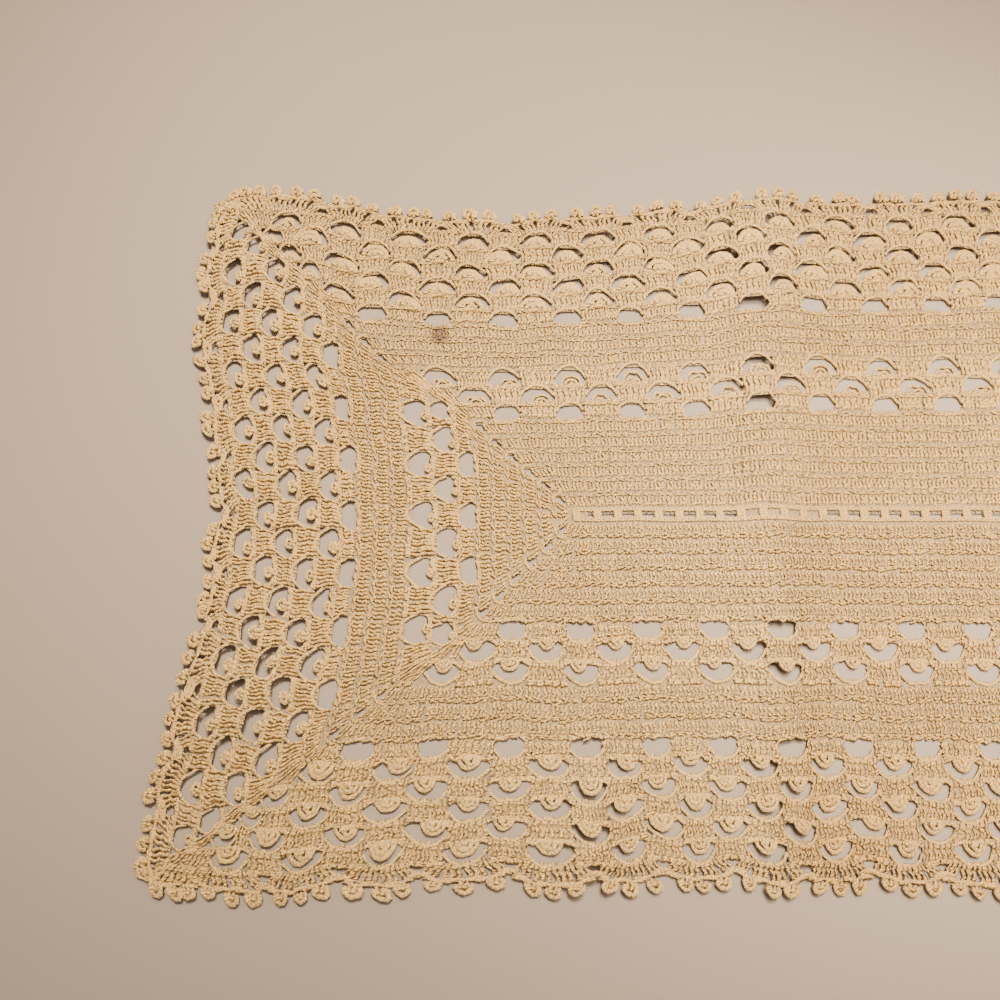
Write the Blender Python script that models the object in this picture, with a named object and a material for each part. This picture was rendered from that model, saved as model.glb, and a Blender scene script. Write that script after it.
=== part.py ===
"""Crochet doily: one oblong sheet of cotton thread lace, worked in mitred rounds out from a centre row.

X runs along the doily, Y across it and Z up, in metres. The origin is on the surface that the
doily lies on, under the middle of its box. The sheet is made flat and square first, with its
picot edge and its two rounds of eyelets, and then laid: its edges wander and a few folds stand up.
"""

import math

import bmesh
import bpy

# Driving dimensions of the flat, square sheet.
CENTRE_ROW_HALF = 0.1472
SIDE_DEPTH = 0.1124  # from the centre row out to the picot tips of a long side
END_DEPTH = 0.1235  # from the end of the centre row out to the picot tips of an end
THICKNESS = 0.0015
SIDE_REPEAT = 0.0202
END_REPEAT = 0.0180

# Edge: one fan of three picots a repeat, and rounded corners.
FAN_RISE = 0.0026
PICOT_RISE = 0.0008
PICOTS_IN_FAN = 3
POINTS_IN_FAN = 12
CORNER_RADIUS = 0.010
CORNER_STEPS = 6

# Eyelets: round slots between blocks of stitches.
EYELET_LENGTH = 0.0090
EYELET_CORNER = 0.0012

# The two eyelet rounds. "side" and "end" are the depths of their middle lines from the centre row
# and its end, and "width" is an eyelet's size across its round.
EYELET_ROUNDS = (
    # side, end, width, side count, end count
    (0.0364, 0.0382, 0.0048, 18, 3),
    (0.0711, 0.0770, 0.0044, 22, 7),
)

# How the long edges wander: "far" is the +Y edge and "near" the -Y edge, positive outwards, and
# "slip" is how far the near edge has slid along X.
LONG_EDGES = (
    # x, far, near, slip
    (-0.268, 0.0005, -0.0014, 0.0000),
    (-0.250, 0.0023, 0.0012, 0.0000),
    (-0.234, 0.0008, 0.0026, 0.0000),
    (-0.214, -0.0044, 0.0010, 0.0000),
    (-0.192, -0.0070, -0.0004, 0.0008),
    (-0.172, -0.0074, -0.0010, 0.0020),
    (-0.152, -0.0064, -0.0004, 0.0044),
    (-0.132, -0.0050, -0.0016, 0.0050),
    (-0.112, -0.0034, -0.0014, 0.0042),
    (-0.092, -0.0002, -0.0004, 0.0038),
    (-0.078, 0.0008, -0.0014, 0.0030),
    (-0.055, -0.0008, -0.0004, 0.0028),
    (-0.010, 0.0006, 0.0002, 0.0018),
    (0.050, -0.0016, 0.0008, 0.0000),
    (0.092, 0.0004, -0.0010, -0.0010),
    (0.150, -0.0024, 0.0010, 0.0000),
    (0.210, -0.0012, 0.0018, 0.0000),
    (0.268, 0.0010, 0.0010, 0.0000),
)

# How the two ends bow, positive outwards.
ENDS = (
    # y, left, right
    (-0.120, 0.0060, 0.0040),
    (-0.105, 0.0090, 0.0052),
    (-0.085, 0.0072, 0.0040),
    (-0.070, 0.0042, 0.0026),
    (-0.055, 0.0014, 0.0006),
    (-0.040, -0.0016, -0.0020),
    (-0.018, -0.0036, -0.0030),
    (0.002, -0.0037, -0.0030),
    (0.017, -0.0024, -0.0022),
    (0.036, 0.0004, -0.0004),
    (0.056, 0.0048, 0.0022),
    (0.090, 0.0046, 0.0040),
    (0.112, 0.0014, 0.0030),
)
END_BOW_REACH = 0.085  # the bow grows from the end of the centre row out to this depth
EDGE_SHARE_POWER = 0.75  # how fast the wander of a long edge fades towards the centre row

# Folds, each a soft ridge. "x half" and "y half" are its reach from its crest point, "lean" is how
# far the crest shifts along X for each metre along Y.
FOLDS = (
    # x, y, x half, y half, lean, rise
    (-0.0880, 0.000, 0.014, 0.200, 0.030, 0.0030),
    (-0.0940, 0.096, 0.024, 0.040, 0.000, 0.0016),
    (-0.1450, -0.096, 0.013, 0.046, 0.050, 0.0034),
    (-0.2510, -0.054, 0.030, 0.034, 0.200, 0.0034),
    (-0.2560, 0.078, 0.022, 0.030, -0.100, 0.0014),
    (0.0920, 0.000, 0.016, 0.200, -0.012, 0.0022),
)
CREASE_CUTS = (-1.0, -0.6, -0.3, 0.0, 0.3, 0.6, 1.0)  # where edges cross a fold, in x halves

# The laid outline's middle, moved to the origin.
BOX_MIDDLE = (-0.0019, -0.0001)

THREAD_COLOUR = (0.66, 0.49, 0.33, 1.0)


def between(stations, at, column):
    """The value in a column of a table of stations, eased from one station to the next."""
    if at <= stations[0][0]:
        return stations[0][column]
    for low, high in zip(stations, stations[1:]):
        if at <= high[0]:
            t = (at - low[0]) / (high[0] - low[0])
            return low[column] + (high[column] - low[column]) * t * t * (3 - 2 * t)
    return stations[-1][column]


def fold_height(x, y):
    """How far the folds lift the sheet off the surface at a point."""
    height = 0.0
    for crest_x, crest_y, x_half, y_half, lean, rise in FOLDS:
        along = (y - crest_y) / y_half
        across = (x - crest_x - lean * (y - crest_y)) / x_half
        if abs(along) < 1 and abs(across) < 1:
            height += rise * (1 - across**2) ** 2 * (1 - along**2) ** 2
    return height


def laid(x, y):
    """Where a point of the flat, square sheet lies: its place and its height."""
    side_share = min(abs(y) / SIDE_DEPTH, 1.1) ** EDGE_SHARE_POWER
    out_side = between(LONG_EDGES, x, 1 if y > 0 else 2)
    beyond = min(max((abs(x) - CENTRE_ROW_HALF) / END_BOW_REACH, 0.0), 1.0)
    end_share = beyond * beyond * (3 - 2 * beyond)
    out_end = between(ENDS, y, 1 if x < 0 else 2)
    slip = between(LONG_EDGES, x, 3) * side_share if y < 0 else 0.0
    laid_x = x + math.copysign(end_share, x) * out_end + slip
    laid_y = y + math.copysign(side_share, y) * out_side
    laid_x -= BOX_MIDDLE[0]
    laid_y -= BOX_MIDDLE[1]
    return laid_x, laid_y, fold_height(laid_x, laid_y)


def fan_depth(along, repeat):
    """How far the edge stands in from its picot tips, at a place along one side."""
    fan = abs(math.cos(math.pi * along / repeat))
    picot = abs(math.cos(math.pi * PICOTS_IN_FAN * along / repeat))
    return FAN_RISE * (1 - fan**0.6) + PICOT_RISE * (1 - picot)


def edge_line(half_length, depth, repeat):
    """One side's fans as (along, out) points, between its two rounded corners."""
    reach = half_length - CORNER_RADIUS
    count = 2 * round(reach / repeat * POINTS_IN_FAN / 2)
    places = [reach * (2 * i / count - 1) for i in range(count + 1)]
    return [(place, depth - fan_depth(place, repeat)) for place in places]


def outline():
    """The sheet's edge, anticlockwise from the near left corner, each corner a bumpy arc."""
    length_half = CENTRE_ROW_HALF + END_DEPTH
    sides = (
        (0.0, edge_line(length_half, SIDE_DEPTH, SIDE_REPEAT), SIDE_DEPTH, length_half),
        (0.5 * math.pi, edge_line(SIDE_DEPTH, length_half, END_REPEAT), length_half, SIDE_DEPTH),
        (math.pi, edge_line(length_half, SIDE_DEPTH, SIDE_REPEAT), SIDE_DEPTH, length_half),
        (1.5 * math.pi, edge_line(SIDE_DEPTH, length_half, END_REPEAT), length_half, SIDE_DEPTH),
    )
    points = []
    for turn, line, depth, half_length in sides:
        for along, out in line:
            points.append(turned(along, -out, turn))
        for step in range(1, CORNER_STEPS):
            angle = 0.5 * math.pi * step / CORNER_STEPS
            radius = CORNER_RADIUS - PICOT_RISE * (step % 2)
            along = half_length - CORNER_RADIUS + radius * math.sin(angle)
            out = depth - CORNER_RADIUS + radius * math.cos(angle)
            points.append(turned(along, -out, turn))
    return points


def turned(x, y, angle):
    return (
        x * math.cos(angle) - y * math.sin(angle),
        x * math.sin(angle) + y * math.cos(angle),
    )


def eyelet(x, y, length, width):
    """A slot with clipped corners round a point, longer along X or Y as its length and width say."""
    clip = EYELET_CORNER
    half_x, half_y = length / 2, width / 2
    corners = ((1, 1), (-1, 1), (-1, -1), (1, -1))
    points = []
    for side_x, side_y in corners:
        low_end = (side_x * half_x, side_y * (half_y - clip))
        high_end = (side_x * (half_x - clip), side_y * half_y)
        ends = (low_end, high_end) if side_x * side_y > 0 else (high_end, low_end)
        points.extend((x + dx, y + dy) for dx, dy in ends)
    return points


def eyelets():
    """All slots of the two eyelet rounds, in the flat, square sheet."""
    slots = []
    for side, end, width, side_count, end_count in EYELET_ROUNDS:
        for sign in (-1, 1):
            for i in range(side_count):
                x = SIDE_REPEAT * (i - (side_count - 1) / 2)
                slots.append(eyelet(x, sign * side, EYELET_LENGTH, width))
            for i in range(end_count):
                y = END_REPEAT * (i - (end_count - 1) / 2)
                slots.append(eyelet(sign * (CENTRE_ROW_HALF + end), y, width, EYELET_LENGTH))
    return slots


def closed_loop(bm, points):
    """A ring of edges through the points."""
    verts = [bm.verts.new((x, y, 0.0)) for x, y in points]
    return [bm.edges.new((a, b)) for a, b in zip(verts, verts[1:] + verts[:1])]


def cut_across(bm, x):
    bmesh.ops.bisect_plane(
        bm,
        geom=bm.verts[:] + bm.edges[:] + bm.faces[:],
        dist=1e-6,
        plane_co=(x, 0.0, 0.0),
        plane_no=(1.0, 0.0, 0.0),
    )


def make_sheet(name):
    """The whole sheet: filled between its edge and its eyelets, creased, thickened and laid."""
    bm = bmesh.new()
    edges = closed_loop(bm, outline())
    for slot in eyelets():
        edges += closed_loop(bm, slot)
    bmesh.ops.triangle_fill(bm, use_beauty=True, edges=edges, normal=(0.0, 0.0, 1.0))
    for crest_x, _, x_half, y_half, _, _ in FOLDS:
        if y_half > SIDE_DEPTH:
            for cut in CREASE_CUTS:
                cut_across(bm, crest_x + cut * x_half)
    bmesh.ops.triangulate(bm, faces=bm.faces[:])
    upper = bmesh.ops.extrude_face_region(bm, geom=bm.faces[:])
    raised = [item for item in upper["geom"] if isinstance(item, bmesh.types.BMVert)]
    bmesh.ops.translate(bm, verts=raised, vec=(0.0, 0.0, THICKNESS))
    for vert in bm.verts:
        x, y, lift = laid(vert.co.x, vert.co.y)
        vert.co = (x, y, vert.co.z + lift)
    bmesh.ops.recalc_face_normals(bm, faces=bm.faces[:])
    mesh = bpy.data.meshes.new(name)
    bm.to_mesh(mesh)
    bm.free()
    sheet = bpy.data.objects.new(name, mesh)
    bpy.context.scene.collection.objects.link(sheet)
    return sheet


def thread_material():
    material = bpy.data.materials.new("thread")
    material.use_nodes = True
    shader = material.node_tree.nodes["Principled BSDF"]
    shader.inputs["Base Color"].default_value = THREAD_COLOUR
    shader.inputs["Roughness"].default_value = 0.85
    shader.inputs["Metallic"].default_value = 0.0
    return material


for leftover in list(bpy.data.objects):
    bpy.data.objects.remove(leftover, do_unlink=True)

doily = make_sheet("doily")
doily.data.materials.append(thread_material())
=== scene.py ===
import math
import bmesh
import bpy
import numpy as np
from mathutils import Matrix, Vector


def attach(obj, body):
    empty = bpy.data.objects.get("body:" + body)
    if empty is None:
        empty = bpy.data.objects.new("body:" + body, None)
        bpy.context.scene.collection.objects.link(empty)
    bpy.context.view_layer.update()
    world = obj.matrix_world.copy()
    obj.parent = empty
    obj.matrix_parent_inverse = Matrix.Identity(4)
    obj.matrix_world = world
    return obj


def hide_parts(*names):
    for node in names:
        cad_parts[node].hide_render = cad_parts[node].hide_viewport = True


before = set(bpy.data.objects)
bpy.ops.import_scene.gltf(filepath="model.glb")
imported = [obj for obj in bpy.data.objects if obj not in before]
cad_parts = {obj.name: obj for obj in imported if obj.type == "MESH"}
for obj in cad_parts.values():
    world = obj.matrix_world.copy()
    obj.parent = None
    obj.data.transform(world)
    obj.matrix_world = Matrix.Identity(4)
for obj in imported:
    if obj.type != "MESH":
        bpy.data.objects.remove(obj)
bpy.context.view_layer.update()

# ---------------------------------------------------------------------------------------------
# The table and the light. The doily lies on a plain pale table top in a pale room, under four
# soft lamps. The camera looks steeply down on its left half.
# ---------------------------------------------------------------------------------------------
CAMERA_PLACE = (-0.1720, -0.0740, 0.3034)
CAMERA_TARGET = (-0.1720, 0.0049, 0.0)
LENS_MM, SENSOR_MM = 36.0, 36.0
NEAREST_SEEN = 0.01
TABLE_HALF = 4.0
TABLE_COLOUR, TABLE_ROUGHNESS = (0.328, 0.264, 0.211, 1.0), 0.8
ROOM_COLOUR, ROOM_STRENGTH = (1.0, 0.88, 0.74, 1.0), 0.30
WARM_LAMP, PALE_LAMP = (1.0, 0.86, 0.68), (1.0, 0.87, 0.72)
LAMPS = (
    # name, place, point it faces, size, power, beam in degrees, colour
    ("window", (-0.10, 0.45, 1.2), (-0.20, 0.08, 0.0), 0.32, 1.72, 30.5, WARM_LAMP),
    ("overhead", (-0.06, 0.05, 0.55), (0.02, -0.01, 0.0), 0.16, 0.64, 46.0, WARM_LAMP),
    ("room", (0.05, 0.04, 0.55), (-0.08, 0.0, 0.0), 0.50, 1.10, 180.0, PALE_LAMP),
    ("right_end", (0.27, 0.0, 0.6), (0.27, 0.0, 0.0), 0.20, 0.75, 48.0, WARM_LAMP),
)


def add_object(name, data):
    """A new object in the scene."""
    made = bpy.data.objects.new(name, data)
    bpy.context.scene.collection.objects.link(made)
    return made


def facing(place, target):
    """The turn of a camera or lamp that stands at one point and faces another."""
    return (Vector(target) - Vector(place)).to_track_quat("-Z", "Y").to_euler()


def new_material(name):
    """A new material, its nodes and its surface shader."""
    material = bpy.data.materials.new(name)
    material.use_nodes = True
    tree = material.node_tree
    return material, tree, tree.nodes["Principled BSDF"]


camera_data = bpy.data.cameras.new("camera")
camera_data.lens = LENS_MM
camera_data.sensor_width = SENSOR_MM
camera_data.clip_start = NEAREST_SEEN
camera = add_object("camera", camera_data)
camera.location = CAMERA_PLACE
camera.rotation_euler = facing(CAMERA_PLACE, CAMERA_TARGET)
bpy.context.scene.camera = camera

bm = bmesh.new()
bmesh.ops.create_grid(bm, x_segments=1, y_segments=1, size=TABLE_HALF)
table_mesh = bpy.data.meshes.new("table_top")
bm.to_mesh(table_mesh)
bm.free()
table_top = add_object("table_top", table_mesh)
table_paint, _, surface = new_material("table_paint")
surface.inputs["Base Color"].default_value = TABLE_COLOUR
surface.inputs["Roughness"].default_value = TABLE_ROUGHNESS
table_mesh.materials.append(table_paint)

for name, place, target, size, power, beam, colour in LAMPS:
    lamp_data = bpy.data.lights.new(name, "AREA")
    lamp_data.size = size
    lamp_data.energy = power
    lamp_data.spread = math.radians(beam)
    lamp_data.color = colour
    lamp = add_object(name, lamp_data)
    lamp.location = place
    lamp.rotation_euler = facing(place, target)
    lamp.visible_camera = False

world = bpy.data.worlds.new("room_light")
world.use_nodes = True
world.node_tree.nodes["Background"].inputs["Color"].default_value = ROOM_COLOUR
world.node_tree.nodes["Background"].inputs["Strength"].default_value = ROOM_STRENGTH
bpy.context.scene.world = world

# ---------------------------------------------------------------------------------------------
# Cotton thread: ecru mercerised crochet cotton, two plies twisted, gone yellow with age. It is
# warmer past a crosswise crease, and has one small rusty stain in the far solid band. Painted
# shade darkens it towards the far edge, low between the stitches and in the ply grooves.
# ---------------------------------------------------------------------------------------------
PALE_THREAD = (0.940, 0.615, 0.208, 1.0)
WARM_THREAD = (0.740, 0.448, 0.120, 1.0)
# Thread in painted shade, and the dark random flecks, go towards this colour.
SHADE_AND_FLECK_THREAD = (0.180, 0.148, 0.108, 1.0)
THREAD_GLOSS = (
    ("IOR", 1.65),
    ("Roughness", 0.33),
    ("Specular IOR Level", 0.85),
    ("Specular Tint", (1.0, 0.57, 0.20, 1.0)),
    ("Sheen Weight", 0.15),
    ("Sheen Roughness", 0.5),
)
# How bright the crests are, how much the random flecks vary, and the painted shade in the ply
# grooves.
CREST_LIGHT, FLECK_LIGHT, GROOVE_SHADE = 0.88, 0.52, 0.14
PLY_PITCH_MM = 0.80
PLY_SHARE, FUZZ_SHARE = 0.55, 0.75  # of the thread's relief
RELIEF = 0.00040
CREASE_X, CREASE_LEAN = -0.0880, 0.06
WARM_BEFORE, WARM_PAST = 0.12, 0.75  # on the two sides of the crease
FAR_SHADE_WARMTH = 0.3  # painted shade: warmer, darker thread for each metre towards the far edge
STAIN_PLACE = (-0.1915, 0.0603, 0.0)
STAIN_INNER, STAIN_OUTER, STAIN_RAGGED = 0.0030, 0.0052, 0.0030
STAIN_SQUEEZE = (1.0, 0.85, 0.0)
STAIN_COLOUR = (0.190, 0.072, 0.014, 1.0)


def node(tree, kind, inputs=(), **settings):
    """A new node with its settings, and its inputs set from a value or linked from a socket."""
    made = tree.nodes.new(kind)
    for name, value in settings.items():
        setattr(made, name, value)
    for name, value in dict(inputs).items():
        if isinstance(value, bpy.types.NodeSocket):
            tree.links.new(value, made.inputs[name])
        else:
            made.inputs[name].default_value = value
    return made


def maths(tree, operation, first, second=0.0):
    """Two values added, multiplied and so on."""
    inputs = {0: first, 1: second}
    return node(tree, "ShaderNodeMath", inputs, operation=operation).outputs[0]


def blended(tree, amount, first, second):
    """A colour between two others."""
    inputs = {0: amount, 6: first, 7: second}
    return node(tree, "ShaderNodeMix", inputs, data_type="RGBA").outputs[2]


def clouds(tree, place, scale, detail, roughness=0.5):
    """A random pattern from 0 to 1, finer for a higher scale."""
    inputs = {"Vector": place, "Scale": scale, "Detail": detail, "Roughness": roughness}
    return node(tree, "ShaderNodeTexNoise", inputs).outputs[0]


def ranged(tree, value, start, end, low, high, **settings):
    """A value carried from the range start-end to the range low-high."""
    inputs = {"Value": value, "From Min": start, "From Max": end, "To Min": low, "To Max": high}
    return node(tree, "ShaderNodeMapRange", inputs, **settings).outputs[0]


def new_group(name, sockets):
    """A shader node group, its output node and a place on the doily."""
    group = bpy.data.node_groups.new(name, "ShaderNodeTree")
    for label, kind in sockets:
        group.interface.new_socket(name=label, in_out="OUTPUT", socket_type=kind)
    place = node(group, "ShaderNodeTexCoord").outputs["Object"]
    return group, group.nodes.new("NodeGroupOutput"), place


# The twist of the plies in a strand: its relief, the grooves between plies that get painted shade,
# and light fibres.
PLY_TWIST, end, place = new_group(
    "ply_twist", [(label, "NodeSocketFloat") for label in ("Height", "Groove", "Fibre")]
)
strand_place = node(PLY_TWIST, "ShaderNodeAttribute", attribute_name="strand").outputs["Vector"]
parts = node(PLY_TWIST, "ShaderNodeSeparateXYZ", {"Vector": strand_place}).outputs
around = maths(PLY_TWIST, "ARCTAN2", parts["Y"], parts["X"])
turns = maths(PLY_TWIST, "MULTIPLY", parts["Z"], 2 * math.pi / PLY_PITCH_MM)
wave = maths(PLY_TWIST, "SINE", maths(PLY_TWIST, "ADD", around, turns))
ridge = maths(PLY_TWIST, "ADD", maths(PLY_TWIST, "MULTIPLY", wave, 0.5), 0.5)
fuzz = clouds(PLY_TWIST, place, 1700.0, 3.0, 0.7)
plies = maths(PLY_TWIST, "MULTIPLY", ridge, PLY_SHARE)
height = maths(PLY_TWIST, "ADD", plies, maths(PLY_TWIST, "MULTIPLY", fuzz, FUZZ_SHARE))
fleck = clouds(PLY_TWIST, place, 2000.0, 2.0, 0.7)
PLY_TWIST.links.new(height, end.inputs["Height"])
PLY_TWIST.links.new(maths(PLY_TWIST, "SUBTRACT", 1.0, ridge), end.inputs["Groove"])
PLY_TWIST.links.new(ranged(PLY_TWIST, fleck, 0.30, 0.70, -1.0, 1.0), end.inputs["Fibre"])

# The thread's colour over the whole doily: pale, warm and worn places, painted shade towards the
# far edge, and the stain.
AGED_COTTON, end, place = new_group("aged_cotton", [("Colour", "NodeSocketColor")])
where = node(AGED_COTTON, "ShaderNodeSeparateXYZ", {"Vector": place}).outputs
leaning = maths(AGED_COTTON, "MULTIPLY", where["Y"], -CREASE_LEAN)
past_crease = ranged(
    AGED_COTTON,
    maths(AGED_COTTON, "ADD", leaning, where["X"]),
    CREASE_X - 0.010,
    CREASE_X + 0.012,
    WARM_BEFORE,
    WARM_PAST,
    interpolation_type="SMOOTHSTEP",
)
patches = ranged(AGED_COTTON, clouds(AGED_COTTON, place, 16.0, 3.0, 0.55), 0.35, 0.68, -0.12, 0.28)
warmth_and_far_shade = maths(
    AGED_COTTON,
    "ADD",
    maths(AGED_COTTON, "ADD", past_crease, patches),
    maths(AGED_COTTON, "MULTIPLY", where["Y"], FAR_SHADE_WARMTH),
)
colour = blended(AGED_COTTON, warmth_and_far_shade, PALE_THREAD, WARM_THREAD)
offset = node(
    AGED_COTTON, "ShaderNodeVectorMath", {0: place, 1: STAIN_PLACE}, operation="SUBTRACT"
).outputs[0]
offset = node(
    AGED_COTTON, "ShaderNodeVectorMath", {0: offset, 1: STAIN_SQUEEZE}, operation="MULTIPLY"
).outputs[0]
reach = node(AGED_COTTON, "ShaderNodeVectorMath", {0: offset}, operation="LENGTH").outputs["Value"]
ragged = maths(AGED_COTTON, "MULTIPLY", clouds(AGED_COTTON, place, 900.0, 2.0, 0.6), STAIN_RAGGED)
reach = maths(AGED_COTTON, "ADD", reach, ragged)
stained = ranged(AGED_COTTON, reach, STAIN_OUTER, STAIN_INNER, 0.0, 0.95)
colour = blended(AGED_COTTON, stained, colour, STAIN_COLOUR)
AGED_COTTON.links.new(colour, end.inputs["Colour"])

# The thread itself, darker where its "tone_and_shade" is lower: a random tone for each stitch,
# with painted shade where thread lies low and in the ply grooves. Its plies and fuzz are cut in as
# bump.
COTTON, tree, surface = new_material("crochet_cotton")
aged = node(tree, "ShaderNodeGroup", node_tree=AGED_COTTON).outputs["Colour"]
twist = node(tree, "ShaderNodeGroup", node_tree=PLY_TWIST).outputs
tone_and_shade = node(tree, "ShaderNodeAttribute", attribute_name="tone_and_shade").outputs["Fac"]
crests = maths(tree, "MULTIPLY", tone_and_shade, CREST_LIGHT)
flecks = maths(tree, "MULTIPLY", twist["Fibre"], FLECK_LIGHT)
grooves = maths(tree, "MULTIPLY", twist["Groove"], GROOVE_SHADE)
brightness = maths(tree, "SUBTRACT", maths(tree, "ADD", crests, flecks), grooves)
lit = node(tree, "ShaderNodeClamp", {"Value": brightness}).outputs[0]
tree.links.new(blended(tree, lit, SHADE_AND_FLECK_THREAD, aged), surface.inputs["Base Color"])
relief = {"Height": twist["Height"], "Distance": RELIEF, "Strength": 1.0}
tree.links.new(node(tree, "ShaderNodeBump", relief).outputs[0], surface.inputs["Normal"])
for name, value in THREAD_GLOSS:
    surface.inputs[name].default_value = value

# ---------------------------------------------------------------------------------------------
# The whole cloth. The doily is one piece of lace, worked in rounds out from a short centre row,
# with mitred corners. Under its raised stitches lies this thin sheet: the thread that crosses
# at the feet of the stitches, open wherever the lace is open.
# ---------------------------------------------------------------------------------------------
MM = 0.001
CENTRE_ROW_HALF = 0.1472
SIDE_DEPTH = 0.1124
END_DEPTH = 0.1235
CORNER_RADIUS = 0.010
SIDE_REPEAT = 0.0202
END_REPEAT = 0.0180
BAR_PITCH, BAR_HALF, SLOT_HALF = 6.4 * MM, 1.15 * MM, 1.00 * MM  # in the centre row
BAND = 0.9 * MM  # across the chain along a round's outer edge

# How far out each round reaches on the long sides and at the ends, and the kind of round.
ROUNDS = (
    # side, end, kind
    (1.5, 4.1, "centre"),
    (6.6, 9.2, "solid"),
    (11.7, 14.2, "solid"),
    (16.8, 19.3, "solid"),
    (21.9, 24.3, "solid"),
    (27.2, 29.4, "solid"),
    (32.6, 34.4, "solid"),
    (38.8, 40.6, "eyelets"),
    (45.2, 48.6, "shells"),
    (51.6, 57.0, "shells"),
    (56.8, 62.4, "solid"),
    (62.0, 67.9, "solid"),
    (67.4, 73.3, "solid"),
    (73.3, 79.4, "eyelets"),
    (79.3, 86.2, "shells"),
    (85.1, 92.8, "shells"),
    (90.9, 99.3, "shells"),
    (96.7, 105.8, "shells"),
    (102.5, 112.2, "shells"),
    (108.5, 118.6, "fans"),
)
SIDE_LINE = np.array([row[0] for row in ROUNDS]) * MM
END_LINE = np.array([row[1] for row in ROUNDS]) * MM
OPEN_ROUNDS = [i for i, row in enumerate(ROUNDS) if row[2] in ("eyelets", "shells")]
HALF_STEP_ROUNDS = (7, 9, 13, 15, 17)  # with no opening at the middle of a long side
OPENING_HALF = {"eyelets": 4.1 * MM, "shells": 4.9 * MM}
END_OPENING_HALF = {"eyelets": 4.2 * MM, "shells": 4.4 * MM}
CORNER_OPENING_HALF = 3.3 * MM
CLEAR_OF_MITRE, MITRE_STRIP = 4.2 * MM, 1.0 * MM
CORNER_HOLE_HALF = 1.3 * MM

# How the long edges wander: "far" is the +Y edge and "near" the -Y edge, positive outwards, and
# "slip" is how far the near edge has slid along X.
LONG_EDGES = (
    # x, far, near, slip
    (-0.268, 0.0005, -0.0014, 0.0000),
    (-0.250, 0.0023, 0.0012, 0.0000),
    (-0.234, 0.0008, 0.0026, 0.0000),
    (-0.214, -0.0044, 0.0010, 0.0000),
    (-0.192, -0.0070, -0.0004, 0.0008),
    (-0.172, -0.0074, -0.0010, 0.0020),
    (-0.152, -0.0064, -0.0004, 0.0044),
    (-0.132, -0.0050, -0.0016, 0.0050),
    (-0.112, -0.0034, -0.0014, 0.0042),
    (-0.092, -0.0002, -0.0004, 0.0038),
    (-0.078, 0.0008, -0.0014, 0.0030),
    (-0.055, -0.0008, -0.0004, 0.0028),
    (-0.010, 0.0006, 0.0002, 0.0018),
    (0.050, -0.0016, 0.0008, 0.0000),
    (0.092, 0.0004, -0.0010, -0.0010),
    (0.150, -0.0024, 0.0010, 0.0000),
    (0.210, -0.0012, 0.0018, 0.0000),
    (0.268, 0.0010, 0.0010, 0.0000),
)
ENDS = (
    # y, left, right
    (-0.120, 0.0060, 0.0040),
    (-0.105, 0.0090, 0.0052),
    (-0.085, 0.0072, 0.0040),
    (-0.070, 0.0042, 0.0026),
    (-0.055, 0.0014, 0.0006),
    (-0.040, -0.0016, -0.0020),
    (-0.018, -0.0036, -0.0030),
    (0.002, -0.0037, -0.0030),
    (0.017, -0.0024, -0.0022),
    (0.036, 0.0004, -0.0004),
    (0.056, 0.0048, 0.0022),
    (0.090, 0.0046, 0.0040),
    (0.112, 0.0014, 0.0030),
)
END_BOW_REACH = 0.085
EDGE_SHARE_POWER = 0.75
FOLDS = (
    # x, y, x half, y half, lean, rise
    (-0.0880, 0.000, 0.014, 0.200, 0.030, 0.0030),
    (-0.0940, 0.096, 0.024, 0.040, 0.000, 0.0016),
    (-0.1450, -0.096, 0.013, 0.046, 0.050, 0.0034),
    (-0.2510, -0.054, 0.030, 0.034, 0.200, 0.0034),
    (-0.2560, 0.078, 0.022, 0.030, -0.100, 0.0014),
    (0.0920, 0.000, 0.016, 0.200, -0.012, 0.0022),
    (-0.0500, 0.094, 0.300, 0.028, 0.000, 0.0009),
    (-0.2350, 0.006, 0.046, 0.105, 0.000, 0.0004),
)
BOX_MIDDLE = (-0.0019, -0.0001)  # of the laid doily, which is put at the origin
RIPPLE = 0.50 * MM
DRIFT, LACE_DRIFT = 0.15 * MM, 0.45 * MM  # in the solid panel, and what the lace adds
DRIFT_WAVES = (
    # radians for each metre along X and Y, and at the origin
    ((211, 173, 0.4), (97, -263, 2.1)),
    ((187, -139, 1.3), (303, 121, 4.0)),
)
SHEET_LOW, SHEET_THICK = 0.36 * MM, 0.36 * MM
SHEET_CELL, SMALLEST_CELL = 2.9 * MM, 0.25 * MM
SHEET_HOLE_HALF, END_SHEET_HOLE_HALF = 4.9 * MM, 4.6 * MM
HOLE_EASE = 0.4 * MM
SHADE_SHEET_NEAR_CREASE = 13.0 * MM  # the centre row's gaps are closed near the crease, where the darkened sheet stands as painted shade
MATTED_SHADE, MATTED_RELIEF = 0.42, 0.0003


def between(stations, at, column):
    """The values in a column of a table of stations, eased from one station to the next."""
    table = np.array(stations)
    at = np.clip(at, table[0, 0], table[-1, 0])
    low = np.clip(np.searchsorted(table[:, 0], at) - 1, 0, len(table) - 2)
    t = (at - table[low, 0]) / (table[low + 1, 0] - table[low, 0])
    rise = table[low + 1, column] - table[low, column]
    return table[low, column] + rise * t * t * (3 - 2 * t)


def fold_height(x, y):
    """How far the folds lift the sheet off the table."""
    height = np.zeros_like(x)
    for crest_x, crest_y, x_half, y_half, lean, rise in FOLDS:
        along = np.clip((y - crest_y) / y_half, -1, 1)
        across = np.clip((x - crest_x - lean * (y - crest_y)) / x_half, -1, 1)
        height += rise * (1 - across**2) ** 2 * (1 - along**2) ** 2
    return height


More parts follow.
